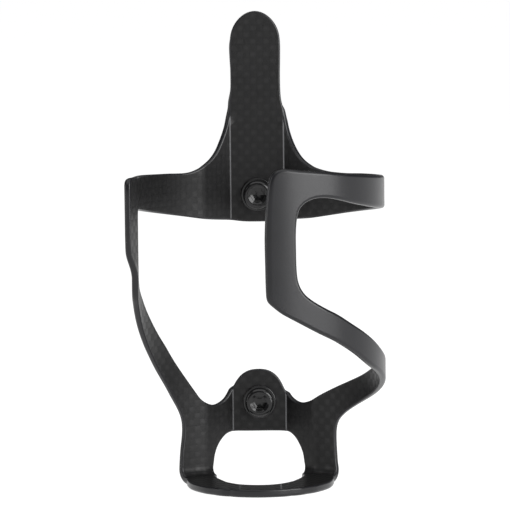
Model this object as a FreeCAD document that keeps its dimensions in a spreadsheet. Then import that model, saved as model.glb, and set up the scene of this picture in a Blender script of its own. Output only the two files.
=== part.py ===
import FreeCAD
import Part

import math
import os

import Sketcher

# Side-entry water bottle cage, moulded in carbon laminate, with its two M5 bolts and washers.
# Frame: +Z up, +Y towards the bicycle tube, -Y towards the bottle. The origin lies on the rear
# mounting face, midway between the two bolts. Sizes are in millimetres, angles in degrees.
# A bearing is an angle about the bottle axis: 0 at the rear, positive towards +X.

Vector = FreeCAD.Vector
doc = FreeCAD.newDocument("BottleCage")

SIZES = [
    ("cage_radius", 35.6, "inner radius of the round band, a little under a 73 mm bottle's"),
    ("laminate", 2.0, "wall thickness of the moulded body"),
    ("axis_depth", 42.1, "bottle axis in front of the rear mounting face"),
    ("bolt_spacing", 64.0, "standard distance between the two frame bosses"),
    ("pad_half_width", 8.2, "centre line to the crease beside a mounting pad"),
    ("wall_angle", 46.0, "slope of the channel walls, degrees from the pad"),
    ("back_bearing", 30.0, "bearing where the formed back meets the straps"),
    ("tongue_half_width", 7.6, "half width of the tongue"),
    ("tongue_top", 88.2, "height of the tip of the tongue"),
    ("tip_length", 9.5, "length of the rounded tip"),
    ("tongue_foot", 62.0, "height where the tongue starts to widen into the wings"),
    ("pad_foot", 23.7, "lower edge of the upper pad"),
    ("lobe_radius", 9.0, "radius of the lower pad's rounded top"),
    ("lobe_centre", -30.9, "height of that radius's centre"),
    ("hole_top", -40.7, "top of the opening in the base"),
    ("hole_shoulder", -50.0, "height below which the opening has its full width"),
    ("hole_half_width", 14.8, "half width of the opening in the base"),
    ("hole_half_top", 8.2, "half width of the opening's flat top"),
    ("leg_bearing", 38.8, "outer edge of each leg"),
    ("shoulder_step", 0.2, "how far each leg stands above the strap that leaves it"),
    ("strap_left_bearing", 176.8, "free edge of the front strap"),
    ("strap_right_bearing", 163.2, "edge of the front strap towards the window"),
    ("entry_bearing", 86.0, "rear edge of the entry lip, on the -X side"),
    ("lip_out", 37.6, "how far to -X the lip's inner edge stands"),
    ("lip_forward", 48.0, "how far forward of the mounting face the lip ends"),
    ("lip_foot", 10.0, "height where the side strut starts to lean back"),
    ("floor_underside", -55.5, "lowest face of the base"),
    ("floor_thickness", 2.4, "thickness of the base"),
    ("heel_radius", 4.5, "outer radius of the bend from leg to base"),
    ("bolt_hole_radius", 2.75, "clearance hole for M5"),
    ("bolt_radius", 2.5, "M5 shank"),
    ("neck_radius", 2.1, "thread undercut between the bolt head and the mounting face"),
    ("bolt_reach", 10.0, "shank standing out behind the mounting face"),
    ("head_radius", 4.4, "bolt head"),
    ("head_height", 2.9, "bolt head"),
    ("head_rounding", 1.1, "rounding of the bolt head's front edge"),
    ("socket_across_flats", 4.0, "hexagon socket"),
    ("socket_depth", 2.0, "hexagon socket"),
    ("washer_radius", 5.1, "outside radius of the washer"),
    ("washer_bore_radius", 2.65, "bore radius of the washer"),
    ("washer_thickness", 1.0, "thickness of the washer"),
]

sheet = doc.addObject("Spreadsheet::Sheet", "Sizes")
for row, (alias, value, note) in enumerate(SIZES, start=1):
    sheet.set("A%d" % row, note)
    sheet.set("B%d" % row, str(value))
    sheet.setAlias("B%d" % row, alias)
doc.recompute()


def size(alias):
    return float(sheet.get(alias))


INNER = size("cage_radius")
THICK = size("laminate")
OUTER = INNER + THICK
AXIS_Y = -size("axis_depth")
BACK = size("back_bearing")
LEG = size("leg_bearing")
ENTRY = size("entry_bearing")
STRAP_LEFT = size("strap_left_bearing")
STRAP_RIGHT = size("strap_right_bearing")
HOLE_HALF = size("hole_half_width")
FLOOR_LOW = size("floor_underside")
FLOOR_HIGH = FLOOR_LOW + size("floor_thickness")


def around(bearing, radius, height=0.0):
    """The point at a bearing, a distance from the bottle axis and a height."""
    turn = math.radians(bearing)
    return Vector(radius * math.sin(turn), AXIS_Y + radius * math.cos(turn), height)


def polyline(points):
    return [Part.LineSegment(a, b).toShape() for a, b in zip(points, points[1:])]


def arc(first, middle, last):
    return Part.Arc(first, middle, last).toShape()


def smooth(points, start, end):
    """One curve through the points that leaves and arrives in the given directions."""
    curve = Part.BSplineCurve()
    curve.interpolate(points, InitialTangent=start, FinalTangent=end)
    return curve.toShape()


def two_sided_face(right_edges, left_edges):
    """The face bounded by two runs of edges from x = 0 to x = 0. The left run is given mirrored."""
    left_edges = [edge.mirror(Vector(), Vector(1, 0, 0)) for edge in left_edges]
    return Part.Face(Part.Wire(Part.__sortEdges__(right_edges + left_edges)))


# ---------------------------------------------------------------- formed back of the body

def back_plan(limit):
    """Plan section of the back, out to a bearing: flat pad, sloping walls, start of the round part."""
    slope = math.radians(size("wall_angle"))
    along = Vector(math.cos(slope), -math.sin(slope), 0)
    corner_in = Vector(size("pad_half_width"), -THICK, 0)
    corner_out = Vector(corner_in.x + THICK * math.tan(slope / 2), 0, 0)

    def meeting(corner, radius):
        """Where the wall that starts at the corner reaches the circle about the bottle axis."""
        offset = corner - Vector(0, AXIS_Y, 0)
        nearing = -offset.dot(along)
        return corner + along * (nearing - math.sqrt(nearing ** 2 - offset.dot(offset) + radius ** 2))

    def band_start(point, radius):
        """The arc from the end of the wall to the limit."""
        bearing = math.degrees(math.atan2(point.x, point.y - AXIS_Y))
        return arc(point, around((bearing + limit) / 2, radius), around(limit, radius))

    wall_in = meeting(corner_in, INNER)
    wall_out = meeting(corner_out, OUTER)
    edges = polyline([Vector(0, -THICK, 0), corner_in, wall_in])
    edges.append(band_start(wall_in, INNER))
    edges += polyline([around(limit, INNER), around(limit, OUTER)])
    edges.append(band_start(wall_out, OUTER))
    edges += polyline([wall_out, corner_out, Vector()])
    return two_sided_face(edges, edges)


def upper_outline():
    """Front view of the tongue, the upper pad and the wings beside it."""
    half = size("tongue_half_width")
    top = size("tongue_top")
    shoulder = top - size("tip_length")
    foot = size("tongue_foot")
    tip = Part.Ellipse(Vector(0, 0, top), Vector(half, 0, shoulder), Vector(0, 0, shoulder))
    band_low, band_high = LEFT_BAND[0][1:]
    edge_x = around(BACK, INNER).x
    edges = [Part.ArcOfEllipse(tip, 0, math.pi / 2).toShape()]
    edges += polyline([Vector(half, 0, shoulder), Vector(half, 0, foot)])
    flare = [(half, foot), (9.0, 55.2), (11.2, 48.3), (14.2, 43.5), (edge_x, band_high)]
    edges.append(smooth([Vector(x, 0, z) for x, z in flare], Vector(0, 0, -1), Vector(1, 0, -0.1)))
    edges += polyline([Vector(edge_x, 0, band_high), Vector(20, 0, band_high), Vector(20, 0, band_low),
                       Vector(edge_x, 0, band_low)])
    underside = [(edge_x, band_low), (size("pad_half_width"), 24.2), (0, size("pad_foot"))]
    edges.append(smooth([Vector(x, 0, z) for x, z in underside], Vector(-1, 0, -0.12), Vector(-1, 0, 0)))
    return two_sided_face(edges, edges)


def lower_half(strap_top):
    """Front view of half the lower pad and a leg, up to the height where its strap leaves."""
    radius = size("lobe_radius")
    centre = size("lobe_centre")
    lean = math.radians(20)
    edge_x = around(LEG, INNER).x
    lobe_end = Vector(radius * math.cos(lean), 0, centre + radius * math.sin(lean))
    lobe_mid = Vector(radius * math.sin(math.radians(35)), 0, centre + radius * math.cos(math.radians(35)))
    edges = [arc(Vector(0, 0, centre + radius), lobe_mid, lobe_end)]
    saddle = [lobe_end, Vector(10.2, 0, -30.9), Vector(13.4, 0, -32.3), Vector(17.8, 0, -30.4),
              Vector(edge_x, 0, strap_top)]
    edges.append(smooth(saddle, Vector(0.34, 0, -1), Vector(1, 0, (strap_top + 30.4) / 5)))
    edges += polyline([Vector(edge_x, 0, strap_top), Vector(25, 0, strap_top), Vector(25, 0, FLOOR_LOW),
                       Vector(HOLE_HALF, 0, FLOOR_LOW), Vector(HOLE_HALF, 0, size("hole_shoulder"))])
    hole_top = Vector(0, 0, size("hole_top"))
    hole_corner = Vector(size("hole_half_top"), 0, hole_top.z)
    side = [Vector(HOLE_HALF, 0, size("hole_shoulder")), Vector(12.9, 0, -43.2), hole_corner]
    edges.append(smooth(side, Vector(0, 0, 1), Vector(-1, 0, 0)))
    edges += polyline([hole_corner, hole_top])
    return edges


def formed(outline, limit):
    """The back's plan section out to a bearing, cut to a front outline."""
    column = back_plan(limit)
    column.translate(Vector(0, 0, -100))
    slab = outline.translated(Vector(0, -40, 0)).extrude(Vector(0, 60, 0))
    return column.extrude(Vector(0, 0, 200)).common(slab)


# ---------------------------------------------------------------- straps round the bottle

# Each strap is a list of stations: bearing, lower edge, upper edge.
LEFT_BAND = [(-BACK, 25.7, 40.7), (-45, 27.1, 39.7), (-60, 28.5, 39.7), (-75, 29.6, 40.0),
             (-ENTRY, 30.3, 40.3)]
RIGHT_BAND = [(BACK, 25.7, 40.7), (45, 27.1, 39.3), (60, 28.5, 39.4), (75, 29.6, 39.7), (90, 30.4, 40.1),
              (105, 31.3, 40.6), (120, 32.7, 41.6), (135, 34.6, 42.5), (149, 36.1, 43.3),
              (STRAP_RIGHT, 33.0, 44.3)]
FRONT_STRAP = [(STRAP_RIGHT, -0.6, 44.3), (167.7, 1.8, 44.8), (172.2, 4.0, 44.2), (STRAP_LEFT, 6.3, 40.0)]
DIAGONAL = [(STRAP_RIGHT, -0.6, 12.0), (153, -3.3, 5.2), (143, -6.3, 1.7), (131, -10.4, -2.3),
            (118, -14.9, -6.9), (105, -18.3, -10.9), (90, -21.5, -14.5), (75, -24.7, -17.9),
            (60, -28.3, -21.7), (49, -31.5, -24.6), (LEG, -37.8, -27.4)]

# The side strut's two edges, from the leg up to the entry lip: bearing and height.
STRUT_FRONT = [(-LEG, -36.5), (-40.2, -33.2), (-46, -27.7), (-53, -21.7), (-60, -16.3), (-67, -11.2),
               (-74, -6.1), (-80.5, -1.2), (-87, 3.0), (-92.5, 6.4), (-95, 10)]
STRUT_REAR = [(-LEG, -24.2), (-40.2, -23.0), (-46, -18.2), (-51, -14.1), (-56, -10.4), (-61, -7.0),
              (-66.5, -3.3), (-72, 0.3), (-78, 3.9), (-83.5, 6.9), (-ENTRY, 10)]


def section(lower, upper):
    """Cross-section of a strap between two edge points, each a bearing and a height."""
    corners = [around(lower[0], INNER, lower[1]), around(upper[0], INNER, upper[1]),
               around(upper[0], OUTER, upper[1]), around(lower[0], OUTER, lower[1])]
    return Part.makePolygon(corners + corners[:1])


def strap(stations):
    """A strap through upright sections at the stations."""
    return Part.makeLoft([section((b, low), (b, high)) for b, low, high in stations], True)


def side_strut():
    return Part.makeLoft([section(front, rear) for front, rear in zip(STRUT_FRONT, STRUT_REAR)], True)


def entry_lip():
    """The upright end of the band, which flares outwards to let the bottle in from the side."""
    foot = size("lip_foot")
    rear_in, rear_out = around(-ENTRY, INNER), around(-ENTRY, OUTER)
    straight_in, straight_out = around(STRUT_FRONT[-1][0], INNER), around(STRUT_FRONT[-1][0], OUTER)
    flared_in = Vector(-size("lip_out"), -size("lip_forward"), 0)
    run = (flared_in - rear_in).normalize()
    flared_out = flared_in + Vector(run.y, -run.x, 0) * THICK
    top = LEFT_BAND[-1][2]
    sections = []
    for height, flare in ((foot, 0), (foot + 3, 0.3), (foot + 5.5, 0.75), (foot + 8, 1), (top, 1)):
        front_in = straight_in + (flared_in - straight_in) * flare
        front_out = straight_out + (flared_out - straight_out) * flare
        corners = [p + Vector(0, 0, height) for p in (rear_in, front_in, front_out, rear_out)]
        sections.append(Part.makePolygon(corners + corners[:1]))
    return Part.makeLoft(sections, True, True)


# ---------------------------------------------------------------- base

def base_plate():
    """The U-shaped shelf that the bottle stands on."""
    hole_bearing = math.degrees(math.asin(HOLE_HALF / OUTER))
    rim = [(0, -44.9), (7.2, -43.1), (13.6, -38.4), (18.4, -31.4), (21.7, -22.6)]
    leg_out = around(LEG, OUTER)
    edges = [smooth([Vector(x, y, 0) for x, y in rim] + [leg_out], Vector(1, 0, 0), Vector(0.15, 1, 0))]
    edges.append(arc(leg_out, around((LEG + hole_bearing) / 2, OUTER), around(hole_bearing, OUTER)))
    edges += polyline([around(hole_bearing, OUTER), Vector(HOLE_HALF, -15, 0)])
    hole = [(HOLE_HALF, -15), (13.3, -22.8), (10.2, -28.6), (5.6, -32.6), (0, -33.8)]
    edges.append(smooth([Vector(x, y, 0) for x, y in hole], Vector(0, -1, 0), Vector(-1, 0, 0)))
    plate = two_sided_face(edges, edges)
    plate.translate(Vector(0, 0, FLOOR_LOW))
    return plate.extrude(Vector(0, 0, FLOOR_HIGH - FLOOR_LOW))


def bend_face(bearing, reach, base, radius, margin):
    """What lies between a round corner and the square one, in the upright plane at a bearing.

    The square corner stands at this reach from the bottle axis, on this base height."""
    outward = around(bearing, 1) - around(bearing, 0)
    corner = around(bearing, reach, base)
    on_base, on_wall = corner - outward * radius, corner + Vector(0, 0, radius)
    beyond = outward * margin
    below = Vector(0, 0, -margin)
    middle = on_base + Vector(0, 0, radius) + (outward - Vector(0, 0, 1)) * (radius * math.sqrt(0.5))
    outline = [on_wall, on_wall + beyond, corner + beyond + below, on_base + below, on_base]
    if margin == 0:
        outline = [on_wall, corner, on_base]
    return Part.Face(Part.Wire(polyline(outline) + [arc(on_base, middle, on_wall)]))


def about_axis(face, degrees):
    return face.revolve(Vector(0, AXIS_Y, 0), Vector(0, 0, -1), degrees)


def bend_filling():
    """The material inside the bends from the legs to the base, which makes their inner side round."""
    hole_bearing = math.degrees(math.asin(HOLE_HALF / INNER))
    face = bend_face(hole_bearing, INNER, FLOOR_HIGH, size("heel_radius") - THICK, 0)
    right = about_axis(face, LEG - hole_bearing)
    return [right, right.mirror(Vector(), Vector(1, 0, 0))]


def cage_shell():
    """The whole moulded body, before its bolt holes, with the bends from the legs to the base."""
    step = size("shoulder_step")
    lower_outline = two_sided_face(lower_half(DIAGONAL[-1][2] + step), lower_half(STRUT_REAR[0][1] + step))
    pieces = [formed(upper_outline(), BACK), formed(lower_outline, LEG), strap(LEFT_BAND), strap(RIGHT_BAND),
              strap(FRONT_STRAP), strap(DIAGONAL), side_strut(), entry_lip(), base_plate()]
    body = pieces[0].multiFuse(pieces[1:] + bend_filling()).removeSplitter()
    heel = about_axis(bend_face(-BACK - 20, OUTER, FLOOR_LOW, size("heel_radius"), 3), 2 * BACK + 40)
    return body.cut(heel).Solids[0]


shell = doc.addObject("Part::Feature", "moulded_shell")
shell.Shape = cage_shell()
shell.Placement = FreeCAD.Placement()


def bolt_hole(name, height):
    """A clearance hole through a pad, along Y."""
    hole = doc.addObject("Part::Cylinder", name)
    hole.setExpression("Radius", "Sizes.bolt_hole_radius")
    hole.setExpression("Height", "4 * Sizes.laminate")
    hole.Placement = FreeCAD.Placement(Vector(), FreeCAD.Rotation(Vector(1, 0, 0), 90))
    hole.setExpression("Placement.Base.y", "Sizes.laminate")
    hole.setExpression("Placement.Base.z", height)
    return hole


holes = doc.addObject("Part::MultiFuse", "bolt_holes")
holes.Shapes = [bolt_hole("upper_hole", "Sizes.bolt_spacing / 2"),
                bolt_hole("lower_hole", "-Sizes.bolt_spacing / 2")]
cage_body = doc.addObject("Part::Cut", "cage_body")
cage_body.Base = shell
cage_body.Tool = holes


# ---------------------------------------------------------------- bolts and washers

def origin_plane(body, role):
    return next(feature for feature in body.Origin.OriginFeatures if feature.Role == role)


def outline_sketch(body, name, role, corners):
    """A closed outline whose corners are held by expressions, each a pair (across, up)."""
    doc.recompute()
    sketch = body.newObject("Sketcher::SketchObject", name)
    sketch.AttachmentSupport = [(origin_plane(body, role), "")]
    sketch.MapMode = "FlatFace"
    places = [Vector(sketch.evalExpression(x), sketch.evalExpression(y), 0) for x, y in corners]
    count = len(places)
    for index, place in enumerate(places):
        sketch.addGeometry(Part.LineSegment(place, places[(index + 1) % count]), False)
    for index in range(count):
        sketch.addConstraint(Sketcher.Constraint("Coincident", index, 2, (index + 1) % count, 1))
    for index, (corner, place) in enumerate(zip(corners, places)):
        for kind, axis, expression, value in (("DistanceX", -2, corner[0], place.x),
                                              ("DistanceY", -1, corner[1], place.y)):
            if expression == "0":
                sketch.addConstraint(Sketcher.Constraint("PointOnObject", index, 1, axis))
            else:
                number = sketch.addConstraint(Sketcher.Constraint(kind, -1, 1, index, 1, value))
                sketch.setExpression("Constraints[%d]" % number, expression)
    return sketch


def turned_body(name, corners, height):
    """A body turned about the Y axis from half its section, then set at a height."""
    body = doc.addObject("PartDesign::Body", name)
    profile = outline_sketch(body, name + "_section", "XY_Plane", corners)
    turned = body.newObject("PartDesign::Revolution", name + "_turned")
    turned.Profile = profile
    turned.ReferenceAxis = (profile, ["V_Axis"])
    turned.Angle = 360
    body.setExpression("Placement.Base.z", height)
    doc.recompute()
    return body


def round_edge(body, name, radius, place, amount, kind="Fillet"):
    """Rounds or bevels the circular edge of this radius whose centre is this far along Y."""
    edges = []
    base = body.Tip
    for number, edge in enumerate(base.Shape.Edges, start=1):
        if isinstance(edge.Curve, Part.Circle) and abs(edge.Curve.Radius - radius) < 0.01:
            if abs(edge.Curve.Center.y - place) < 0.01:
                edges.append("Edge%d" % number)
    finish = body.newObject("PartDesign::" + kind, name)
    finish.Base = (base, edges)
    finish.setExpression("Radius" if kind == "Fillet" else "Size", amount)
    doc.recompute()


def cap_bolt(name, height):
    """An M5 bolt with a rounded cap head and a hexagon socket that opens towards the bottle."""
    seat = "-(Sizes.laminate + Sizes.washer_thickness)"
    front = "-(Sizes.laminate + Sizes.washer_thickness + Sizes.head_height)"
    corners = [("0", front), ("Sizes.head_radius", front), ("Sizes.head_radius", seat),
               ("Sizes.neck_radius", seat), ("Sizes.neck_radius", "0"), ("Sizes.bolt_radius", "0"),
               ("Sizes.bolt_radius", "Sizes.bolt_reach"), ("0", "Sizes.bolt_reach")]
    body = turned_body(name, corners, height)
    seat_y = -(THICK + size("washer_thickness"))
    front_y = seat_y - size("head_height")
    round_edge(body, name + "_crown", size("head_radius"), front_y, "Sizes.head_rounding")
    round_edge(body, name + "_point", size("bolt_radius"), size("bolt_reach"), "Sizes.bolt_radius / 5",
               "Chamfer")
    before = body.Shape.Volume
    flat = "Sizes.socket_across_flats / 2"
    corner = "Sizes.socket_across_flats / sqrt(3)"
    half = "Sizes.socket_across_flats / sqrt(12)"
    hexagon = [(corner, "0"), (half, flat), ("-" + half, flat), ("-" + corner, "0"), ("-" + half, "-" + flat),
               (half, "-" + flat)]
    outline = outline_sketch(body, name + "_hexagon", "XZ_Plane", hexagon)
    outline.AttachmentOffset = FreeCAD.Placement(Vector(0, 0, -front_y), FreeCAD.Rotation())
    outline.setExpression("AttachmentOffset.Base.z",
                          "Sizes.laminate + Sizes.washer_thickness + Sizes.head_height")
    socket = body.newObject("PartDesign::Pocket", name + "_socket")
    socket.Profile = outline
    socket.SideType = "Symmetric"
    socket.setExpression("Length", "2 * Sizes.socket_depth")
    doc.recompute()
    removed = before - body.Shape.Volume
    expected = size("socket_across_flats") ** 2 * math.sqrt(3) / 2 * size("socket_depth")
    assert abs(removed - expected) < 0.05 * expected, (name, removed, expected)
    return body


def washer(name, height):
    """A flat ring between a pad and its bolt head."""
    near, far = "-Sizes.laminate", "-(Sizes.laminate + Sizes.washer_thickness)"
    corners = [("Sizes.washer_bore_radius", far), ("Sizes.washer_radius", far), ("Sizes.washer_radius", near),
               ("Sizes.washer_bore_radius", near)]
    body = turned_body(name, corners, height)
    round_edge(body, name + "_edge", size("washer_radius"), -(THICK + size("washer_thickness")),
               "Sizes.washer_thickness / 4")
    return body


UPPER, LOWER = "Sizes.bolt_spacing / 2", "-Sizes.bolt_spacing / 2"
nodes = [cage_body, cap_bolt("upper_bolt", UPPER), cap_bolt("lower_bolt", LOWER),
         washer("upper_washer", UPPER), washer("lower_washer", LOWER)]

# ---------------------------------------------------------------- checks and output

doc.recompute()
for item in doc.Objects:
    assert not {"Invalid", "Error"} & set(item.State), (item.Name, item.State)
os.makedirs("parts", exist_ok=True)
for node in nodes:
    shape = node.Shape
    assert not shape.isNull() and shape.isValid() and len(shape.Solids) == 1, node.Label
    shape.exportStep("parts/%s.step" % node.Label)
    box = shape.BoundBox
    low = [round(value, 2) for value in (box.XMin, box.YMin, box.ZMin)]
    high = [round(value, 2) for value in (box.XMax, box.YMax, box.ZMax)]
    print(node.Label, "volume %.1f mm3" % shape.Volume, "from", low, "to", high)
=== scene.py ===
import math

import bmesh
import bpy
import numpy as np
from mathutils import Matrix, Vector, kdtree
from mathutils.geometry import delaunay_2d_cdt


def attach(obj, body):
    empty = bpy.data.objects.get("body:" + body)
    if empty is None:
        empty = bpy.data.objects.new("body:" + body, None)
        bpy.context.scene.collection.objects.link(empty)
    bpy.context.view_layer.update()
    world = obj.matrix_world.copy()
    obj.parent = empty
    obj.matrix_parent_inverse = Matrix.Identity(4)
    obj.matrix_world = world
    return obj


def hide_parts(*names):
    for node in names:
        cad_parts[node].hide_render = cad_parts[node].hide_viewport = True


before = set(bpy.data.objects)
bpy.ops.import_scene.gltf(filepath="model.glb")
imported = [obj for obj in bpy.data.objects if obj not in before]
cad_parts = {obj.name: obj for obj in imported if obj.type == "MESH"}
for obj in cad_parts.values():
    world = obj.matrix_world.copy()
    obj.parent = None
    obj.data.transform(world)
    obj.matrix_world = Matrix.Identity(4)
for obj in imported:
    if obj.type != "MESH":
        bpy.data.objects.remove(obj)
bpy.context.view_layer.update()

# A side-entry bottle cage moulded in carbon laminate, with its two bolts and washers.
# Lengths are in millimetres until a mesh is made. +Z is up and the bottle is on the -Y side.
# A bearing is an angle about the bottle axis in degrees: 0 at the rear, positive towards +X.
METRES = 0.001

# ---------------------------------------------------------------- plan section of the shell

BAND_RADIUS = 35.6
WALL = 2.0
AXIS = np.array([0.0, -42.1])
PAD_HALF = 8.2
PAD_FACE = -WALL
WALL_SLOPE = math.radians(46)
CREASE_RADIUS = 0.6
SHOULDER_RADIUS = 8.0
ENTRY_BEARING = math.radians(86)
LIP_END = np.array([37.6, -48.0])
LIP_TURN_LENGTH = 1.6
LIP_OVERTURN = 1.15
LIP_FOOT, LIP_FULL = 10.0, 18.5

# The base bends forward under the legs.
FLOOR_TOP = -53.1
FLOOR_EXTRA = 0.2
BEND_RADIUS = 2.5
BEND_TOP = FLOOR_TOP + BEND_RADIUS
BEND_END = BEND_TOP - BEND_RADIUS * math.pi / 2
BASE_EVEN_X = 11.0


def walk(x, y, heading, length, bend):
    """Steps along a run of constant curvature. A heading is measured clockwise from +X."""
    if bend == 0:
        return x + length * np.cos(heading), y - length * np.sin(heading), heading + 0 * length
    last = heading + bend * length
    return x + (np.sin(last) - math.sin(heading)) / bend, y + (np.cos(last) - math.cos(heading)) / bend, last


def plan_runs():
    """The inner face's plan from the centre line outwards: each run's length and curvature."""
    trim = CREASE_RADIUS * math.tan(WALL_SLOPE / 2)
    along = np.array([math.cos(WALL_SLOPE), -math.sin(WALL_SLOPE)])
    outward = np.array([math.sin(WALL_SLOPE), math.cos(WALL_SLOPE)])
    corner = np.array([PAD_HALF, PAD_FACE])
    offset = corner + outward * SHOULDER_RADIUS - AXIS
    nearing = -offset @ along
    reach = nearing - math.sqrt(nearing ** 2 - offset @ offset + (BAND_RADIUS + SHOULDER_RADIUS) ** 2)
    centre = offset + along * reach
    bearing = math.atan2(centre[0], centre[1])
    runs = [(PAD_HALF - trim, 0.0), (CREASE_RADIUS * WALL_SLOPE, 1 / CREASE_RADIUS), (reach - trim, 0.0),
            (SHOULDER_RADIUS * (WALL_SLOPE - bearing), -1 / SHOULDER_RADIUS),
            (BAND_RADIUS * (math.pi - bearing), 1 / BAND_RADIUS)]
    return runs, bearing


RUNS, ROUND_BEARING = plan_runs()
RUN_ENDS = np.cumsum([length for length, bend in RUNS])
ROUND_START = RUN_ENDS[3]


def plan(distance):
    """Plan position and heading at a distance from the centre line, on the +X side."""
    x, y, heading = 0.0, PAD_FACE, 0.0
    out = np.zeros((3, len(distance)))
    start = 0.0
    for length, bend in RUNS:
        here = distance >= start
        out[:, here] = walk(x, y, heading, distance[here] - start, bend)
        x, y, heading = walk(x, y, heading, length, bend)
        start += length
    return out


def along_bearing(bearing):
    """Distance from the centre line to a bearing in degrees, signed as the bearing is."""
    bearing = np.radians(bearing)
    return np.sign(bearing) * (ROUND_START + (np.abs(bearing) - ROUND_BEARING) * BAND_RADIUS)


PLAN_SAMPLES = np.linspace(0, 60, 6001)
PLAN_X = plan(PLAN_SAMPLES)[0]
ENTRY = along_bearing(math.degrees(ENTRY_BEARING))


def along_x(x):
    """Distance from the centre line to a sideways position, signed as x is."""
    return np.sign(x) * np.interp(np.abs(x), PLAN_X, PLAN_SAMPLES)


# Where the plan has been drawn in by the bend, the base starts. Between the legs its columns are even.
BASE_EVEN = along_x(BASE_EVEN_X)


def bend_foot(distance):
    """Plan position where the bend under the legs reaches the base."""
    x, y, heading = plan(distance)
    return x - BEND_RADIUS * np.sin(heading), y - BEND_RADIUS * np.cos(heading)


BASE_EVEN_FOOT = [float(value[0]) for value in bend_foot(np.array([BASE_EVEN]))]
FOOT_X, FOOT_Y = bend_foot(PLAN_SAMPLES)


def on_base(x, y):
    """Chart position of a point of the base's top face."""
    even_x, even_y = BASE_EVEN_FOOT
    beyond = PLAN_SAMPLES >= BASE_EVEN
    if abs(x) < even_x:
        distance, foot = abs(x) / even_x * BASE_EVEN, even_y
    else:
        distance = np.interp(abs(x), FOOT_X[beyond], PLAN_SAMPLES[beyond])
        foot = np.interp(distance, PLAN_SAMPLES, FOOT_Y)
    return math.copysign(distance, x), BEND_END - (foot - y)


def ease(value):
    value = np.clip(value, 0, 1)
    return value * value * (3 - 2 * value)


def inner_face(chart):
    """The bottle-facing surface at chart positions: distance from the centre line, and height.

    Below the legs the chart runs on round the bend and forward along the base."""
    distance, height = np.abs(chart[:, 0]), chart[:, 1]
    side = np.where(chart[:, 0] < 0, -1.0, 1.0)
    x, y, heading = plan(distance)
    # The entry lip turns out of the round and then runs straight.
    past = np.where(side < 0, np.clip(distance - ENTRY, 0, None), 0.0)
    edge = AXIS + BAND_RADIUS * np.array([math.sin(ENTRY_BEARING), math.cos(ENTRY_BEARING)])
    out_turn = ENTRY_BEARING - math.atan2(edge[1] - LIP_END[1], LIP_END[0] - edge[0])
    turned = np.minimum(past, LIP_TURN_LENGTH)
    lip_heading = ENTRY_BEARING - LIP_OVERTURN * out_turn * turned / LIP_TURN_LENGTH
    middle = ENTRY_BEARING - LIP_OVERTURN * out_turn * turned / LIP_TURN_LENGTH / 2
    lip_x = edge[0] + turned * np.cos(middle) + (past - turned) * np.cos(lip_heading)
    lip_y = edge[1] - turned * np.sin(middle) - (past - turned) * np.sin(lip_heading)
    flare = np.where(past > 0, ease((height - LIP_FOOT) / (LIP_FULL - LIP_FOOT)), 0.0)
    x, y = x + flare * (lip_x - x), y + flare * (lip_y - y)
    # The bend towards the base.
    turn = np.clip((BEND_TOP - height) / BEND_RADIUS, 0, math.pi / 2)
    inset = BEND_RADIUS * (1 - np.cos(turn))
    x, y = x - inset * np.sin(heading), y - inset * np.cos(heading)
    z = np.where(height > BEND_TOP, height, BEND_TOP - BEND_RADIUS * np.sin(turn))
    # The base itself.
    forward = np.clip(BEND_END - height, 0, None)
    even = (forward > 0) & (distance < BASE_EVEN)
    x = np.where(even, distance / BASE_EVEN * BASE_EVEN_FOOT[0], x)
    y = np.where(even, BASE_EVEN_FOOT[1], y) - forward
    return np.stack([side * x, y, z], axis=1)


def unit(vectors):
    return vectors / np.maximum(np.linalg.norm(vectors, axis=1, keepdims=True), 1e-12)


def slopes(chart, step=0.01):
    """How the inner face moves along each chart direction."""
    across, up = np.array([step, 0]), np.array([0, step])
    along_u = (inner_face(chart + across) - inner_face(chart - across)) / (2 * step)
    along_v = (inner_face(chart + up) - inner_face(chart - up)) / (2 * step)
    return along_u, along_v


def inward(chart):
    """Unit normals towards the bottle."""
    return unit(np.cross(*slopes(chart)))


def thickness(chart):
    """Wall thickness, which grows through the bend to the thicker base."""
    turn = np.clip((BEND_TOP - chart[:, 1]) / (BEND_RADIUS * math.pi / 2), 0, 1)
    return WALL * (1 + FLOOR_EXTRA * turn)


# ---------------------------------------------------------------- outlines of the shell

def mirrored(points):
    return [(-x, y) for x, y in reversed(points)]


def by_x(points):
    return [(along_x(x), z) for x, z in points]


def by_bearing(points):
    return [(along_bearing(bearing), z) for bearing, z in points]


def by_base(points):
    return [on_base(x, y) for x, y in points]


def by_lip(points):
    """Points of the entry lip, given by their distance past its rear edge."""
    return [(-(ENTRY + past), z) for past, z in points]


# The tongue leans a little towards -X, and the two wings differ slightly.
TONGUE_LEAN = 0.32
TONGUE = [(7.6, 60.8), (7.35, 64.0), (7.3, 69.0), (7.4, 74.0), (7.4, 78.5), (7.0, 81.6), (5.85, 84.2),
          (4.0, 86.3), (2.0, 87.5), (0.0, 87.9)]
RIGHT_WING = [(15.3, 41.2), (13.1, 42.9), (11.3, 45.4), (9.8, 48.6), (8.7, 52.2), (8.15, 55.2), (7.9, 58.2)]
LEFT_WING = [(-8.0, 58.2), (-8.35, 55.2), (-9.0, 52.3), (-10.3, 48.7), (-11.8, 45.4), (-13.7, 42.9),
             (-15.9, 41.2)]
BAND_TOP = [(168.3, 44.4), (162, 43.9), (147.8, 43.0), (135, 42.2), (120, 41.3), (105, 40.5), (90, 40.0),
            (75, 39.6), (60, 39.3), (45, 39.0), (34, 39.5)]
STRAP_EDGE = [(130.3, -9.9), (135.8, -8.0), (143.3, -5.5), (151.4, -3.1), (161.2, 0.2), (169.4, 3.1),
              (172.3, 4.5), (174.5, 5.7), (175.8, 6.5), (176.1, 7.4), (176.3, 10.0), (176.5, 17.2),
              (176.6, 24.7), (176.2, 31.0), (175.7, 35.5), (175.1, 39.0), (174.3, 41.6), (173.0, 43.2),
              (170.8, 44.1)]
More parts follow.
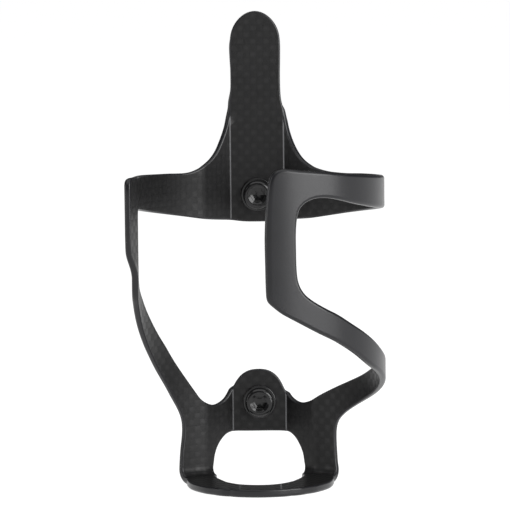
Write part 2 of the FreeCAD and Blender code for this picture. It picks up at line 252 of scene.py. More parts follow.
DIAGONAL_LOW = [(38.9, -41.0), (39.2, -38.6), (40.7, -36.2), (43.6, -34.4), (47.5, -32.7), (54.9, -30.3),
                (63.5, -28.0), (74.8, -25.1), (90, -21.2), (105, -17.4), (118.3, -14.1)]
RIGHT_LEG = [(39.7, -50.0), (39.3, -47.0), (39.0, -44.0)]
BASE_RIM = [(0.0, -45.0), (4.4, -44.4), (8.4, -42.9), (12.4, -40.6), (15.8, -37.2), (18.7, -32.9),
            (20.9, -28.0), (21.9, -23.0), (22.1, -19.0)]
LEFT_LEG = [(-39.6, -38.8), (-40.0, -41.8), (-40.8, -45.0), (-41.5, -50.0)]
STRUT_LOW = [(-91.7, 5.2), (-85.6, 1.6), (-81.2, -1.8), (-76.9, -5.1), (-72.4, -8.4), (-67.8, -11.8),
             (-63.2, -15.1), (-58.8, -18.5), (-54.4, -21.8), (-50.2, -25.1), (-46.8, -28.2), (-43.2, -31.5),
             (-40.8, -34.3), (-39.8, -36.6)]
LIP_EDGE = [(6.9, 39.95), (7.6, 39.7), (8.05, 39.1), (8.2, 38.2), (8.2, 30.0), (8.15, 22.0), (7.9, 18.5),
            (6.9, 15.5), (5.7, 12.6), (4.9, 9.5), (4.5, 7.5)]
LEFT_TOP = [(-34, 39.4), (-48, 39.4), (-59, 39.6), (-72, 39.9), (-84, 40.0)]

OUTER = (by_x([(x - TONGUE_LEAN, z) for x, z in TONGUE + mirrored(TONGUE[:-1])])
         + by_x(LEFT_WING) + by_bearing(LEFT_TOP) + by_lip([(3.0, 40.0)] + LIP_EDGE)
         + by_bearing(STRUT_LOW + LEFT_LEG) + by_base(mirrored(BASE_RIM[1:])) + by_base(BASE_RIM)
         + by_bearing(RIGHT_LEG + DIAGONAL_LOW + STRAP_EDGE + BAND_TOP) + by_x(RIGHT_WING))

BAND_LOW = [(27, 25.5), (38, 26.6), (48, 27.6), (61, 28.7), (75, 29.7), (85, 30.4), (101, 31.3),
            (111.7, 32.0), (123, 33.1), (130.7, 34.0), (136.7, 34.9), (142.5, 35.7), (147.9, 36.2),
            (152.6, 36.2), (156.5, 35.6), (159.3, 34.6), (161.2, 33.3), (162.3, 31.5), (162.9, 29.0)]
DIAGONAL_HIGH = [(163.2, 26.0), (163.2, 20.7), (163.0, 15.3), (162.4, 12.1), (161.0, 9.8), (158.8, 7.9),
                 (155, 6.0), (148.7, 3.7), (141.9, 1.6), (134, -1.2), (124.8, -4.2), (116.8, -6.8),
                 (105.3, -10.5), (90, -14.4), (72.5, -18.4), (59.6, -21.7), (49.1, -24.2), (40.8, -26.3),
                 (32, -28.9)]
RIGHT_NOTCH = [(15.4, -31.2), (12.4, -32.2), (10.4, -31.7), (8.7, -30.3)]
LEFT_NOTCH = [(-9.8, -30.7), (-11.8, -32.1), (-13.6, -32.5), (-15.8, -31.7)]
LOBE = [(7.55, -28.5), (6.5, -26.2), (5.0, -24.1), (2.7, -22.6), (-0.3, -22.2), (-3.2, -22.6), (-5.5, -24.0),
        (-7.2, -26.2), (-8.4, -28.5)]
STRUT_HIGH = [(-30.0, -30.3), (-33.6, -27.5), (-38.9, -23.3), (-46.8, -17.2), (-52.7, -12.5), (-57.0, -9.6),
              (-61.4, -6.6), (-66.0, -3.5), (-71.7, 0.1), (-77, 3.4), (-81, 5.5), (-84.4, 7.4), (-86.2, 9.6),
              (-86.6, 12), (-86.6, 20), (-86.6, 28.4), (-86.6, 29.9), (-86.0, 30.5), (-84.7, 30.55)]
BAND_LOW_LEFT = [(-75, 29.9), (-63, 28.9), (-49.6, 27.7), (-37, 26.5), (-27, 25.5)]
PAD_FOOT = [(12.0, 24.9), (8.4, 24.5), (4.5, 24.0), (0.0, 23.9)]
WINDOW = (by_bearing(BAND_LOW + DIAGONAL_HIGH) + by_x(RIGHT_NOTCH + LOBE + LEFT_NOTCH)
          + by_bearing(STRUT_HIGH + BAND_LOW_LEFT) + by_x([(-x, z) for x, z in PAD_FOOT] + PAD_FOOT[-2::-1]))

# The opening between the legs runs on into the base.
RIGHT_HOLE = [(13.6, -50.6), (13.2, -47.6), (12.2, -44.9), (10.8, -42.6), (9.3, -41.3), (7.5, -40.9),
              (4.0, -40.8), (0.0, -40.8)]
LEFT_HOLE = [(-4.0, -40.8), (-8.0, -40.8), (-10.0, -41.3), (-11.6, -42.7), (-13.0, -44.9), (-13.9, -47.6),
             (-14.3, -50.6)]
HOLE_FRONT = [(-13.9, -13.5), (-13.2, -18.0), (-11.6, -23.5), (-9.5, -28.6), (-6.6, -32.2), (-3.4, -33.9),
              (0.0, -34.4), (3.2, -33.8), (6.2, -31.9), (9.2, -28.0), (11.4, -23.0), (12.8, -18.0),
              (13.5, -13.5)]
BASE_HOLE = by_base(HOLE_FRONT) + by_x(RIGHT_HOLE + LEFT_HOLE)

BOLT_HEIGHT = 32.0
BOLT_HOLE_RADIUS = 2.75


def bolt_hole(height):
    turns = np.linspace(0, 2 * math.pi, 40, endpoint=False)
    return [(BOLT_HOLE_RADIUS * math.cos(t), height + BOLT_HOLE_RADIUS * math.sin(t)) for t in turns]


# ---------------------------------------------------------------- from outlines to a shell

def smooth_loop(points, spacing, softness):
    """A closed curve through the points, evenly spaced and then eased over a short length."""
    p = np.array(points, float)
    before, after, beyond = np.roll(p, 1, 0), np.roll(p, -1, 0), np.roll(p, -2, 0)

    def gap(a, b):
        return np.sqrt(np.linalg.norm(b - a, axis=1))[:, None]

    # Centripetal Catmull-Rom tangents.
    g0, g1, g2 = gap(before, p), gap(p, after), gap(after, beyond)
    leave = ((p - before) / g0 - (after - before) / (g0 + g1) + (after - p) / g1) * g1
    arrive = ((after - p) / g1 - (beyond - p) / (g1 + g2) + (beyond - after) / g2) * g1
    t = np.linspace(0, 1, 24, endpoint=False)[None, :, None]
    dense = ((2 * t ** 3 - 3 * t ** 2 + 1) * p[:, None] + (t ** 3 - 2 * t ** 2 + t) * leave[:, None]
             + (3 * t ** 2 - 2 * t ** 3) * after[:, None] + (t ** 3 - t ** 2) * arrive[:, None])
    dense = dense.reshape(-1, 2)
    run = np.linalg.norm(np.roll(dense, -1, 0) - dense, axis=1)
    length = np.concatenate([[0], np.cumsum(run)])
    closed = np.vstack([dense, dense[:1]])
    count = int(round(length[-1] / spacing))
    where = np.linspace(0, length[-1], count, endpoint=False)
    even = np.stack([np.interp(where, length, closed[:, k]) for k in (0, 1)], axis=1)
    return blurred(even, softness / spacing)


def blurred(values, width):
    """Values round a loop, averaged with their neighbours by a bell curve."""
    if width <= 0:
        return values
    reach = int(math.ceil(3 * width))
    weights = np.exp(-0.5 * (np.arange(-reach, reach + 1) / width) ** 2)
    weights /= weights.sum()
    return sum(w * np.roll(values, k, axis=0) for w, k in zip(weights, range(-reach, reach + 1)))


def crossing_columns(loop, columns):
    """The loop with a point added wherever it crosses one of the columns."""
    out = []
    for here, there in zip(loop, np.roll(loop, -1, 0)):
        out.append(here)
        low, high = sorted((here[0], there[0]))
        hits = [c for c in columns if low + 0.02 < c < high - 0.02]
        shares = sorted((c - here[0]) / (there[0] - here[0]) for c in hits)
        out += [here + (there - here) * share for share in shares]
    return np.array(out)


def turned_left(loop, outer):
    """The loop in the order that keeps the material on its left."""
    x, y = loop[:, 0], loop[:, 1]
    area = np.sum(x * np.roll(y, -1) - y * np.roll(x, -1))
    return loop if (area > 0) == outer else loop[::-1]


def into_material(loop, softness):
    """Chart steps that move each outline point 1 mm into the material, square to the edge."""
    along_u, along_v = slopes(loop)
    normal = unit(np.cross(along_u, along_v))
    place = inner_face(loop)
    along = unit(np.roll(place, -1, 0) - np.roll(place, 1, 0))
    aim = np.cross(normal, along)
    uu, uv, vv = (np.sum(a * b, axis=1)
                  for a, b in ((along_u, along_u), (along_u, along_v), (along_v, along_v)))
    ua, va = np.sum(along_u * aim, axis=1), np.sum(along_v * aim, axis=1)
    det = uu * vv - uv * uv
    return blurred(np.stack([(ua * vv - va * uv) / det, (va * uu - ua * uv) / det], axis=1), softness)


def inside(points, loops):
    """Whether each point lies inside the outer loop and outside the holes."""
    odd = np.zeros(len(points), bool)
    for loop in loops:
        ahead = np.roll(loop, -1, 0)
        for a, b in zip(loop, ahead):
            spans = (a[1] > points[:, 1]) != (b[1] > points[:, 1])
            if not spans.any():
                continue
            cross = a[0] + (points[spans, 1] - a[1]) * (b[0] - a[0]) / (b[1] - a[1])
            odd[spans] ^= points[spans, 0] < cross
    return odd


def fill(loops, extra):
    """Triangles between the loops, through the extra points. Indices count the loops' points first."""
    points = np.vstack(loops + [extra])
    edges, start = [], 0
    for loop in loops:
        count = len(loop)
        edges += [(start + i, start + (i + 1) % count) for i in range(count)]
        start += count
    made = delaunay_2d_cdt([Vector(p) for p in points], edges, [], 0, 1e-7)
    places, triangles, origins = made[0], made[2], made[3]
    assert all(len(origin) >= 1 for origin in origins), "outlines cross"
    first = [origin[0] for origin in origins]
    centres = np.array([np.mean([places[i] for i in triangle], axis=0) for triangle in triangles])
    keep = inside(centres, loops)
    return [[first[i] for i in triangle] for triangle, kept in zip(triangles, keep) if kept]


def grid_columns():
    """Distances from the centre line where the shell's shape asks for points."""
    crease_start, crease_end = RUN_ENDS[0], RUN_ENDS[1]
    crease = np.linspace(crease_start, crease_end, 5)
    shoulder = np.linspace(RUN_ENDS[2], RUN_ENDS[3], 5)
    entry = ENTRY + np.linspace(0, LIP_TURN_LENGTH, 4)
    return crease, shoulder, entry


def grid_points(loops, spacing, clearance):
    """Chart points inside the loops, on even rows and columns and on those the shape asks for."""
    crease, shoulder, entry = grid_columns()
    special = np.concatenate([crease, -crease, shoulder, -shoulder, -entry])
    half = 0.6 * spacing
    even = np.arange(-110, 130, 1) * spacing
    even = even[[np.min(np.abs(special - value)) > half for value in even]]
    columns = np.concatenate([special, even])
    bend = np.linspace(BEND_END, BEND_TOP, 9)
    rows = np.arange(-62, 60, 1) * spacing
    rows = np.concatenate([bend, rows[[np.min(np.abs(bend - value)) > half for value in rows]]])
    u, v = np.meshgrid(columns, rows)
    points = np.stack([u.ravel(), v.ravel()], axis=1)
    points = points[inside(points, loops)]
    edge_points = np.vstack(loops)
    tree = kdtree.KDTree(len(edge_points))
    for index, place in enumerate(edge_points):
        tree.insert((*place, 0), index)
    tree.balance()
    return points[[tree.find((*place, 0))[2] > clearance for place in points]]


# The moulding stands a little proud of its outlines, and its edges are rounded.
FLASH = 0.3
INNER_ROUND = 0.5
OUTER_ROUND = 1.0
OUTER_ROUND_DEPTH = 1.3
HOLE_ROUND = 0.25
STRAP_BEVEL = 2.3
BEVEL_START = along_bearing(170.5)
BEVEL_EASE = 6.0
OUTLINE_SPACING = 0.5
OUTLINE_SOFTNESS = 0.7
GRID_SPACING = 1.6
GRID_CLEARANCE = 0.45


def outer_width(chart):
    """Width of the outer rounding: wide along the front strap's free edge, else narrow."""
    at_strap = ease((chart[:, 0] - BEVEL_START) / BEVEL_EASE)
    return OUTER_ROUND + (STRAP_BEVEL - OUTER_ROUND) * at_strap


class Shell:
    """Collects the points, normals, faces and materials of the moulded shell."""

    def __init__(self):
        self.places, self.normals, self.charts = [], [], []
        self.faces, self.face_slots = [], []
        self.count = 0

    def add(self, places, normals, charts):
        self.places.append(places)
        self.normals.append(normals)
        self.charts.append(charts)
        first = self.count
        self.count += len(places)
        return np.arange(first, self.count)

    def face(self, corners, slot):
        self.faces.append([int(c) for c in corners])
        self.face_slots.append(slot)


WEAVE_SLOT, SATIN_SLOT = 0, 1


def add_edge(shell, loop, small):
    """The rounded edge along one outline. Returns its first and last rings with their chart places."""
    step = into_material(loop, 0 if small else 3.0)
    along_u, along_v = slopes(loop)
    away = -unit(step[:, :1] * along_u + step[:, 1:] * along_v)
    wall = thickness(loop)[:, None]
    wide = np.full((len(loop), 1), HOLE_ROUND) if small else outer_width(loop)[:, None]
    deep = np.minimum(wide, OUTER_ROUND_DEPTH)
    near = HOLE_ROUND if small else INNER_ROUND
    profile = [(near * (1 - math.sin(a)), near * (1 - math.cos(a)), math.sin(a), math.cos(a), True)
               for a in np.linspace(0, math.pi / 2, 5)]
    profile += [(1 - math.cos(a), math.sin(a), math.cos(a), math.sin(a), False)
                for a in np.linspace(0, math.pi / 2, 7)]
    rings, charts = [], []
    for across, depth, out, face, inner in profile:
        if inner:
            t, h = np.full_like(wide, across), np.full_like(wide, depth)
        else:
            t, h = wide * across, wall - deep * (1 - depth)
        chart = loop + step * t
        into = inward(chart)
        normal = unit(away * out + into * face) if inner else unit(away * out * deep - into * face * wide)
        rings.append(shell.add(inner_face(chart) - into * h, normal, chart))
        charts.append(chart)
    for lower, upper in zip(rings, rings[1:]):
        ahead_lower, ahead_upper = np.roll(lower, -1), np.roll(upper, -1)
        for a, b, c, d in zip(lower, ahead_lower, ahead_upper, upper):
            shell.face((b, a, d, c), SATIN_SLOT)
    return rings[0], charts[0], rings[-1], charts[-1]


def build_shell():
    """The whole moulded shell: its rounded edges, then its woven inner face and its outer face."""
    crease = grid_columns()[0]
    columns = np.concatenate([crease, -crease])
    loops = [(OUTER, True, False), (WINDOW, False, False), (BASE_HOLE, False, False),
             (bolt_hole(BOLT_HEIGHT), False, True), (bolt_hole(-BOLT_HEIGHT), False, True)]
    shell = Shell()
    inner_rings, inner_charts, outer_rings, outer_charts = [], [], [], []
    for points, is_outer, small in loops:
        loop = np.array(points) if small else smooth_loop(points, OUTLINE_SPACING, OUTLINE_SOFTNESS)
        loop = turned_left(loop, is_outer)
        if not small:
            loop = loop - into_material(loop, 2.0) * FLASH
            loop = crossing_columns(loop, columns)
        ring, chart, last_ring, last_chart = add_edge(shell, loop, small)
        inner_rings.append(ring)
        inner_charts.append(chart)
        outer_rings.append(last_ring)
        outer_charts.append(last_chart)
    for rings, charts, slot, offset in ((inner_rings, inner_charts, WEAVE_SLOT, 0.0),
                                        (outer_rings, outer_charts, SATIN_SLOT, 1.0)):
        extra = grid_points(charts, GRID_SPACING, GRID_CLEARANCE)
        into = inward(extra)
        places = inner_face(extra) - into * thickness(extra)[:, None] * offset
        numbers = np.concatenate(rings + [shell.add(places, into if slot == WEAVE_SLOT else -into, extra)])
        for a, b, c in fill(charts, extra):
            corners = (a, b, c) if slot == WEAVE_SLOT else (c, b, a)
            shell.face(numbers[list(corners)], slot)
    return shell


def shell_object(shell, name):
    places, normals, charts = (np.vstack(v) for v in (shell.places, shell.normals, shell.charts))
    mesh = bpy.data.meshes.new(name)
    mesh.from_pydata((places * METRES).tolist(), [], shell.faces)
    mesh.polygons.foreach_set("material_index", shell.face_slots)
    mesh.polygons.foreach_set("use_smooth", [True] * len(shell.faces))
    weave = mesh.uv_layers.new(name="weave")
    corner = np.zeros(len(mesh.loops), int)
    mesh.loops.foreach_get("vertex_index", corner)
    weave.data.foreach_set("uv", charts[corner].ravel())
    mesh.normals_split_custom_set_from_vertices(normals.tolist())
    made = bpy.data.objects.new(name, mesh)
    bpy.context.collection.objects.link(made)
    return made


# ---------------------------------------------------------------- bolts and washers

SEAT = -3.0
HEAD_FRONT = -5.9
HEAD_RADIUS = 4.4
HEAD_ROUNDING = 1.1
NECK_RADIUS = 2.1
SOCKET_FLATS = 4.0
SOCKET_DEPTH = 2.0
THREAD_RADIUS = 2.48
THREAD_DEPTH = 0.43
THREAD_PITCH = 0.8
THREAD_END = 9.98
THREAD_ROWS = 150
THREAD_FLAT = 0.125
RUN_OUT_SLOPE = 1.2
POINT_INSET = 0.3
POINT_SLOPE = 0.9
WASHER_RADIUS = 5.1
WASHER_BORE = 2.65
WASHER_GAP = 0.01
SEGMENTS = 96
TURNS = np.linspace(0, 2 * math.pi, SEGMENTS, endpoint=False)


def ring_mesh(name, rings, closed=False):
    """A mesh through rings of (radius, place along Y), each a pair of numbers or of arrays."""
    places = []
    for radius, along in rings:
        radius, along = radius + 0 * TURNS, along + 0 * TURNS
        places.append(np.stack([radius * np.cos(TURNS), along, radius * np.sin(TURNS)], axis=1))
    count = len(places)
    faces = []
    for number in range(count if closed else count - 1):
        here, there = number * SEGMENTS, (number + 1) % count * SEGMENTS
        for i in range(SEGMENTS):
            j = (i + 1) % SEGMENTS
            faces.append((here + i, here + j, there + j, there + i))
    mesh = bpy.data.meshes.new(name)
    mesh.from_pydata((np.vstack(places) * METRES).tolist(), [], faces)
    tidy = bmesh.new()
    tidy.from_mesh(mesh)
    bmesh.ops.remove_doubles(tidy, verts=tidy.verts, dist=2e-6)
    bmesh.ops.recalc_face_normals(tidy, faces=tidy.faces)
    tidy.to_mesh(mesh)
    tidy.free()
    mesh.polygons.foreach_set("use_smooth", [True] * len(mesh.polygons))
    mesh.set_sharp_from_angle(angle=math.radians(35))
    return mesh


def rounded(radius, along, size, start, end, steps=8):
    """Rings round a quarter turn about a point, between two angles in degrees."""
    angles = np.radians(np.linspace(start, end, steps + 1))
    return [(radius + size * math.cos(a), along + size * math.sin(a)) for a in angles]


def bolt_mesh():
    """A cap head with a chamfered hexagon socket, a thread undercut and a threaded shank."""
    floor = HEAD_FRONT + SOCKET_DEPTH
    hexagon = SOCKET_FLATS / 2 / np.cos(np.radians((np.degrees(TURNS) % 60) - 30))
    rings = [(0.0, floor + 0.35), (hexagon * 0.55, floor + 0.2), (hexagon * 0.96, floor + 0.02),
             (hexagon, floor - 0.05), (hexagon, HEAD_FRONT + 0.42), (hexagon + 0.03, HEAD_FRONT + 0.36),
             (2.78 + 0 * TURNS, HEAD_FRONT + 0.08), (2.86, HEAD_FRONT + 0.02), (2.96, HEAD_FRONT)]
    rings += rounded(HEAD_RADIUS - HEAD_ROUNDING, HEAD_FRONT + HEAD_ROUNDING, HEAD_ROUNDING, -90, 0)
    rings += rounded(HEAD_RADIUS - 0.15, SEAT - 0.15, 0.15, 0, 90, 3)
    rings += [(NECK_RADIUS + 0.15, SEAT), (NECK_RADIUS, SEAT + 0.15), (NECK_RADIUS, 0.0)]
    # The thread is right-handed, with a narrow flat along its crest and its root.
    for along in np.linspace(0.0, THREAD_END, THREAD_ROWS + 1)[1:]:
        wave = np.abs(2 * ((along / THREAD_PITCH + TURNS / (2 * math.pi)) % 1) - 1)
        share = np.clip((1 - THREAD_FLAT - wave) / (1 - 2 * THREAD_FLAT), 0, 1)
        radius = THREAD_RADIUS - THREAD_DEPTH * share
        radius = np.minimum(radius, NECK_RADIUS + RUN_OUT_SLOPE * along)
        radius = np.minimum(radius, NECK_RADIUS - POINT_INSET + POINT_SLOPE * (THREAD_END - along))
        rings.append((radius, along))
    rings.append((0.0, THREAD_END))
    return ring_mesh("bolt", rings)


def washer_mesh():
    """A thin washer with rounded edges, a hair clear of the turning head."""
    front, back = SEAT + WASHER_GAP, -WALL
    rings = rounded(WASHER_RADIUS - 0.35, front + 0.35, 0.35, -90, 0, 6)
    rings += rounded(WASHER_RADIUS - 0.12, back - 0.12, 0.12, 0, 90, 3)
    rings += rounded(WASHER_BORE + 0.08, back - 0.08, 0.08, 90, 180, 3)
    rings += rounded(WASHER_BORE + 0.15, front + 0.15, 0.15, 180, 270, 3)
    return ring_mesh("washer", rings, closed=True)


# ---------------------------------------------------------------- materials

class Nodes:
    """A material's node tree, with short calls for the nodes used here."""

    def __init__(self, name):
        self.material = bpy.data.materials.new(name)
        self.material.use_nodes = True
        self.tree = self.material.node_tree
        self.shader = self.tree.nodes["Principled BSDF"]

    def add(self, kind, **settings):
        made = self.tree.nodes.new(kind)
        for key, value in settings.items():
            setattr(made, key, value)
        return made

    def plug(self, socket, value):
        if isinstance(value, bpy.types.NodeSocket):
            self.tree.links.new(value, socket)
        else:
            socket.default_value = value

    def math(self, operation, a, b=0.0):
        made = self.add("ShaderNodeMath", operation=operation)
        self.plug(made.inputs[0], a)
        self.plug(made.inputs[1], b)
        return made.outputs[0]

    def noise(self, place, scale, detail=3.0, roughness=0.5):
        made = self.add("ShaderNodeTexNoise")
        self.plug(made.inputs["Vector"], place)
        made.inputs["Scale"].default_value = scale
        made.inputs["Detail"].default_value = detail
        made.inputs["Roughness"].default_value = roughness
        return made.outputs["Fac"]

    def spread(self, value, low, high):
        """A value from 0 to 1 spread between two others."""
        made = self.add("ShaderNodeMapRange")
        self.plug(made.inputs["Value"], value)
        made.inputs["To Min"].default_value = low
        made.inputs["To Max"].default_value = high
        return made.outputs[0]

    def blend(self, share, first, second):
        made = self.add("ShaderNodeMix", data_type="RGBA")
        self.plug(made.inputs[0], share)
        made.inputs[6].default_value = (*first, 1)
        made.inputs[7].default_value = (*second, 1)
        return made.outputs[2]

    def bump(self, height, distance, strength, after=None):
        made = self.add("ShaderNodeBump")
        made.inputs["Distance"].default_value = distance
        made.inputs["Strength"].default_value = strength
        self.plug(made.inputs["Height"], height)
        if after is not None:
            self.plug(made.inputs["Normal"], after)
        return made.outputs[0]

    def object_place(self):
        return self.add("ShaderNodeTexCoord").outputs["Object"]


def satin_laminate():
    """The smooth outer face: dark, even, with a fine grain left by the mould."""
    n = Nodes("laminate_satin")
    place = n.object_place()
    broad = n.noise(place, 55, 3)
    grain = n.noise(place, 1900, 2)
    fine = n.noise(place, 420, 4, 0.6)
    n.plug(n.shader.inputs["Base Color"], n.blend(broad, (0.0045, 0.0045, 0.0056), (0.0095, 0.0095, 0.0113)))
    rough = n.math("ADD", n.spread(broad, 0.27, 0.36), n.spread(fine, -0.04, 0.04))
    n.plug(n.shader.inputs["Roughness"], rough)
    n.plug(n.shader.inputs["Normal"], n.bump(grain, 0.00004, 0.25, n.bump(fine, 0.0001, 0.12)))
    n.shader.inputs["Specular IOR Level"].default_value = 0.38
    return n.material


TOW = 2.0
CREASE_MIDDLE = (RUN_ENDS[0] + RUN_ENDS[1]) / 2
# Half-widths of the painted highlight along each crease: full inside the core, gone beyond the edge.
CREASE_HIGHLIGHT_CORE, CREASE_HIGHLIGHT_EDGE = 0.14, 0.32
CREASE_TOP = 56.2


def woven_laminate():
    """The bottle-facing side, where the plain weave shows faintly. Its coordinates are in mm."""
    n = Nodes("laminate_weave")
    chart = n.add("ShaderNodeUVMap", uv_map="weave").outputs[0]
    split = n.add("ShaderNodeSeparateXYZ")
    n.plug(split.inputs[0], chart)
    across = n.math("DIVIDE", split.outputs[0], TOW)
    up = n.math("DIVIDE", split.outputs[1], TOW)

    def arch(value, depth):
        """1 along the middle of a tow, falling away towards both of its sides."""
        offset = n.math("SUBTRACT", n.math("MULTIPLY", n.math("FRACT", value), 2.0), 1.0)
        return n.math("SUBTRACT", 1.0, n.math("MULTIPLY", n.math("MULTIPLY", offset, offset), depth))

    cells = n.math("ADD", n.math("FLOOR", across), n.math("FLOOR", up))
    upright = n.math("FLOORED_MODULO", cells, 2.0)
    flat = n.math("SUBTRACT", 1.0, upright)
    # Painted highlight: the middle of each flat-lying tow is painted lighter, as a glint of light on it.
    flat_tow_painted_glint = n.math("MULTIPLY", n.math("MULTIPLY", flat, arch(up, 1.0)), arch(across, 1.0))
    upright_tow = n.math("MULTIPLY", arch(across, 0.8), arch(up, 0.4))
    flat_tow = n.math("MULTIPLY", arch(up, 0.8), arch(across, 0.4))
    height = n.math("ADD", n.math("MULTIPLY", upright, upright_tow), n.math("MULTIPLY", flat, flat_tow))
    place = n.object_place()
    broad = n.noise(place, 45, 3)
    patchy = n.noise(place, 210, 3)
    grain = n.noise(place, 1700, 3, 0.6)
    painted_glint_varied = n.math("MULTIPLY", flat_tow_painted_glint, n.spread(broad, 0.15, 1.1))
    shade = n.math("ADD", n.math("MULTIPLY", painted_glint_varied, 0.6), n.math("MULTIPLY", patchy, 0.4))
    # The weave's colour: random tone with the painted glint on the flat tows mixed in.
    cloth_and_painted_glint = n.blend(shade, (0.0022, 0.0022, 0.0024), (0.0175, 0.0172, 0.0175))
    # A painted highlight runs along the crease at each side of the pads, brighter on the +X side where the
    # key light falls.
    distance = n.math("ABSOLUTE", n.math("SUBTRACT", n.math("ABSOLUTE", split.outputs[0]), CREASE_MIDDLE))
    in_crease = n.add("ShaderNodeMapRange", interpolation_type="SMOOTHSTEP")
    n.plug(in_crease.inputs["Value"], distance)
    in_crease.inputs["From Min"].default_value = CREASE_HIGHLIGHT_EDGE
    in_crease.inputs["From Max"].default_value = CREASE_HIGHLIGHT_CORE
    in_wall = n.math("MULTIPLY", in_crease.outputs[0], n.math("LESS_THAN", split.outputs[1], CREASE_TOP))
    # Painted highlight: the +X crease gets it in full, the -X crease a little over half, as the key light is
    # on +X.
    painted_crease_highlight = n.math("MULTIPLY", in_wall, n.spread(n.math("GREATER_THAN", split.outputs[0], 0.0), 0.55, 1.0))
    mixed = n.add("ShaderNodeMix", data_type="RGBA")
    n.plug(mixed.inputs[0], painted_crease_highlight)
    n.plug(mixed.inputs[6], cloth_and_painted_glint)
    # The light colour painted on as the crease highlight.
    mixed.inputs[7].default_value = (0.13, 0.13, 0.135, 1)
    n.plug(n.shader.inputs["Base Color"], mixed.outputs[2])
    rough = n.math("ADD", n.spread(upright, 0.38, 0.46), n.spread(broad, -0.05, 0.05))
    n.plug(n.shader.inputs["Roughness"], rough)
    n.plug(n.shader.inputs["Normal"], n.bump(grain, 0.00005, 0.25, n.bump(height, 0.00008, 0.35)))
    n.shader.inputs["Specular IOR Level"].default_value = 0.26
    return n.material


def black_steel():
    """Black-oxide steel with slightly uneven polish."""
    n = Nodes("black_oxide_steel")
    place = n.object_place()
    cloud = n.noise(place, 320, 4)
    grain = n.noise(place, 2600, 2)
    n.plug(n.shader.inputs["Base Color"], n.blend(cloud, (0.003, 0.003, 0.0034), (0.008, 0.0078, 0.008)))
    n.plug(n.shader.inputs["Roughness"], n.spread(cloud, 0.12, 0.24))
    n.plug(n.shader.inputs["Normal"], n.bump(grain, 0.00002, 0.15))
    n.shader.inputs["Metallic"].default_value = 0.0
    n.shader.inputs["Specular IOR Level"].default_value = 0.4
    return n.material


def plain_floor():
    n = Nodes("pale_floor")
    n.shader.inputs["Base Color"].default_value = (0.2, 0.2, 0.2, 1)
    n.shader.inputs["Roughness"].default_value = 0.9
    n.shader.inputs["Specular IOR Level"].default_value = 0.0
    n.shader.inputs["Emission Color"].default_value = (1, 1, 1, 1)
    n.shader.inputs["Emission Strength"].default_value = 0.98
    return n.material


# ---------------------------------------------------------------- pieces

cage = shell_object(build_shell(), "cage_shell")
cage.data.materials.append(woven_laminate())
cage.data.materials.append(satin_laminate())
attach(cage, "cage")
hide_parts("cage_body")

steel = black_steel()
fastener_meshes = {"bolt": bolt_mesh(), "washer": washer_mesh()}
for mesh in fastener_meshes.values():
    mesh.materials.append(steel)
for place, height in (("upper", BOLT_HEIGHT), ("lower", -BOLT_HEIGHT)):
    for kind, mesh in fastener_meshes.items():
        node = "%s_%s" % (place, kind)
        piece = bpy.data.objects.new("%s_detail" % node, mesh)
        bpy.context.collection.objects.link(piece)
        piece.location = (0, 0, height * METRES)
        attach(piece, node)
        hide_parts(node)

# ---------------------------------------------------------------- studio

FLOOR_HEIGHT = -55.6 * METRES
FLOOR_RINGS = [0.5, 2.0, 6.0, 14.0]
FLOOR_SIDES = 64


def pale_floor():
    """A wide round floor that gives off an even light, like a light table."""
    turns = np.linspace(0, 2 * math.pi, FLOOR_SIDES, endpoint=False)
    points = [(r * math.cos(t), r * math.sin(t), FLOOR_HEIGHT) for r in FLOOR_RINGS for t in turns]
    faces = [list(range(FLOOR_SIDES))]
    for ring in range(len(FLOOR_RINGS) - 1):
        here, there = ring * FLOOR_SIDES, (ring + 1) * FLOOR_SIDES
        for i in range(FLOOR_SIDES):
            j = (i + 1) % FLOOR_SIDES
            faces.append((here + i, there + i, there + j, here + j))
    mesh = bpy.data.meshes.new("floor")
    mesh.from_pydata(points, [], faces)
    mesh.materials.append(plain_floor())
    made = bpy.data.objects.new("floor", mesh)
    bpy.context.collection.objects.link(made)


def aimed(place, target, roll=0.0):
    """A matrix at a place that looks at a target, rolled about its own line of sight."""
    place, target = Vector(place), Vector(target)
    turn = (target - place).to_track_quat("-Z", "Y").to_matrix().to_4x4()
    return Matrix.Translation(place) @ turn @ Matrix.Rotation(roll, 4, "Z")


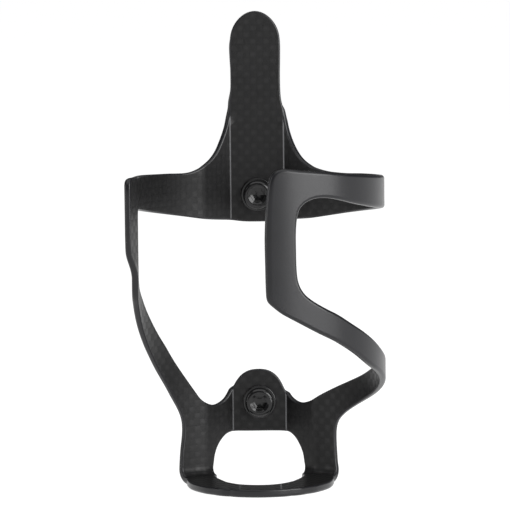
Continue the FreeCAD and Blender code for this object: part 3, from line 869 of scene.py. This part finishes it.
def soft_light(name, bearing, elevation, distance, width, height, power, target=(0, -0.03, 0.01)):
    """A soft box. Its bearing is from the camera's side, positive towards +X."""
    turn, lift = math.radians(bearing), math.radians(elevation)
    aim = Vector((math.sin(turn) * math.cos(lift), -math.cos(turn) * math.cos(lift), math.sin(lift)))
    data = bpy.data.lights.new(name, "AREA")
    data.shape = "RECTANGLE"
    data.size, data.size_y = width, height
    data.energy = power
    light = bpy.data.objects.new(name, data)
    bpy.context.collection.objects.link(light)
    light.matrix_world = aimed(Vector(target) + aim * distance, target)


def sky(horizon, above):
    """Light from all around: bright in a low band at the horizon, dimmer above it."""
    world = bpy.data.worlds.new("studio")
    world.use_nodes = True
    tree = world.node_tree
    place = tree.nodes.new("ShaderNodeTexCoord")
    split = tree.nodes.new("ShaderNodeSeparateXYZ")
    fade = tree.nodes.new("ShaderNodeMapRange")
    fade.inputs["From Min"].default_value = 0.04
    fade.inputs["From Max"].default_value = 0.1
    fade.inputs["To Min"].default_value = horizon
    fade.inputs["To Max"].default_value = above
    tree.links.new(place.outputs["Generated"], split.inputs[0])
    tree.links.new(split.outputs[2], fade.inputs["Value"])
    tree.links.new(fade.outputs[0], tree.nodes["Background"].inputs[1])
    tree.nodes["Background"].inputs[0].default_value = (1, 1, 1, 1)
    bpy.context.scene.world = world


pale_floor()
sky(1.05, 0.1)
soft_light("key", 50, 12, 1.1, 0.95, 1.2, 24)
soft_light("top", 0, 80, 1.4, 1.8, 1.8, 14)
soft_light("left_fill", -75, 12, 1.4, 0.35, 1.2, 4.5)

# The camera looks at the bottle side from 5 degrees above.
LOOK_AT = Vector((-0.935, -3.0, 13.432)) * METRES
CAMERA_LIFT = math.radians(5)
CAMERA_DISTANCE = 1200 * METRES
CAMERA_LENS = 276.1
CAMERA_ROLL = math.radians(-0.6)
camera_data = bpy.data.cameras.new("camera")
camera_data.lens = CAMERA_LENS
camera_data.sensor_width = 36
camera_data.clip_start = 0.05
camera = bpy.data.objects.new("camera", camera_data)
bpy.context.collection.objects.link(camera)
stand = LOOK_AT + Vector((0, -math.cos(CAMERA_LIFT), math.sin(CAMERA_LIFT))) * CAMERA_DISTANCE
camera.matrix_world = aimed(stand, LOOK_AT, CAMERA_ROLL)
bpy.context.scene.camera = camera
bpy.context.scene.view_settings.view_transform = "Standard"
